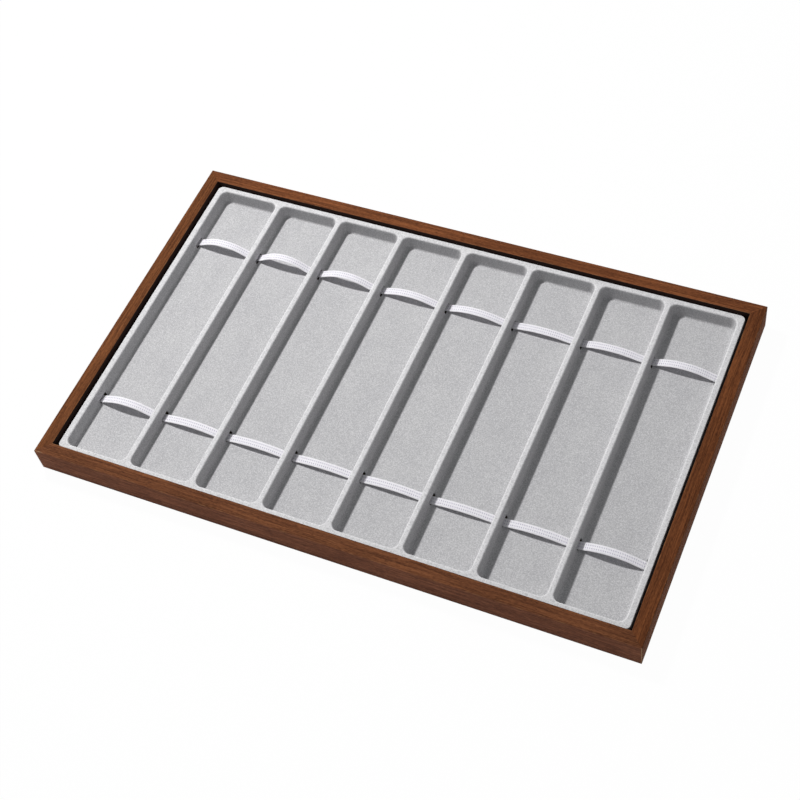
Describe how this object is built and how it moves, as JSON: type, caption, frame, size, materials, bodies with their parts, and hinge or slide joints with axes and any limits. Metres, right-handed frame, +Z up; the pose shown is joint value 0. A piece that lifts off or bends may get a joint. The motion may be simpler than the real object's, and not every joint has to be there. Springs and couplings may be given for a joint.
{
  "type": "watch display tray",
  "caption": "Wooden display tray with a flocked insert of parallel channels, each crossed by elastic straps that hold a watch band flat.",
  "frame": {"origin": "middle of the tray's underside, on the surface that it stands on", "axes": "+X along the long side, left to right as seen from the front; +Y from the front rail to the back rail; +Z up"},
  "size_m": [0.4, 0.25, 0.02],
  "materials": {
    "walnut": "satin, dark walnut stain",
    "board": "matt, dark fibreboard",
    "grey_flock": "moulded sheet with a light grey flock",
    "white_elastic": "woven elastic"
  },
  "bodies": {
    "root": {"front_rail": "walnut", "back_rail": "walnut", "left_rail": "walnut", "right_rail": "walnut", "base_board": "board", "insert": "grey_flock", "strap_back_1": "white_elastic", "strap_back_2": "white_elastic", "strap_back_3": "white_elastic", "strap_back_4": "white_elastic", "strap_back_5": "white_elastic", "strap_back_6": "white_elastic", "strap_back_7": "white_elastic", "strap_back_8": "white_elastic", "strap_front_1": "white_elastic", "strap_front_2": "white_elastic", "strap_front_3": "white_elastic", "strap_front_4": "white_elastic", "strap_front_5": "white_elastic", "strap_front_6": "white_elastic", "strap_front_7": "white_elastic", "strap_front_8": "white_elastic"}
  },
  "joints": []
}
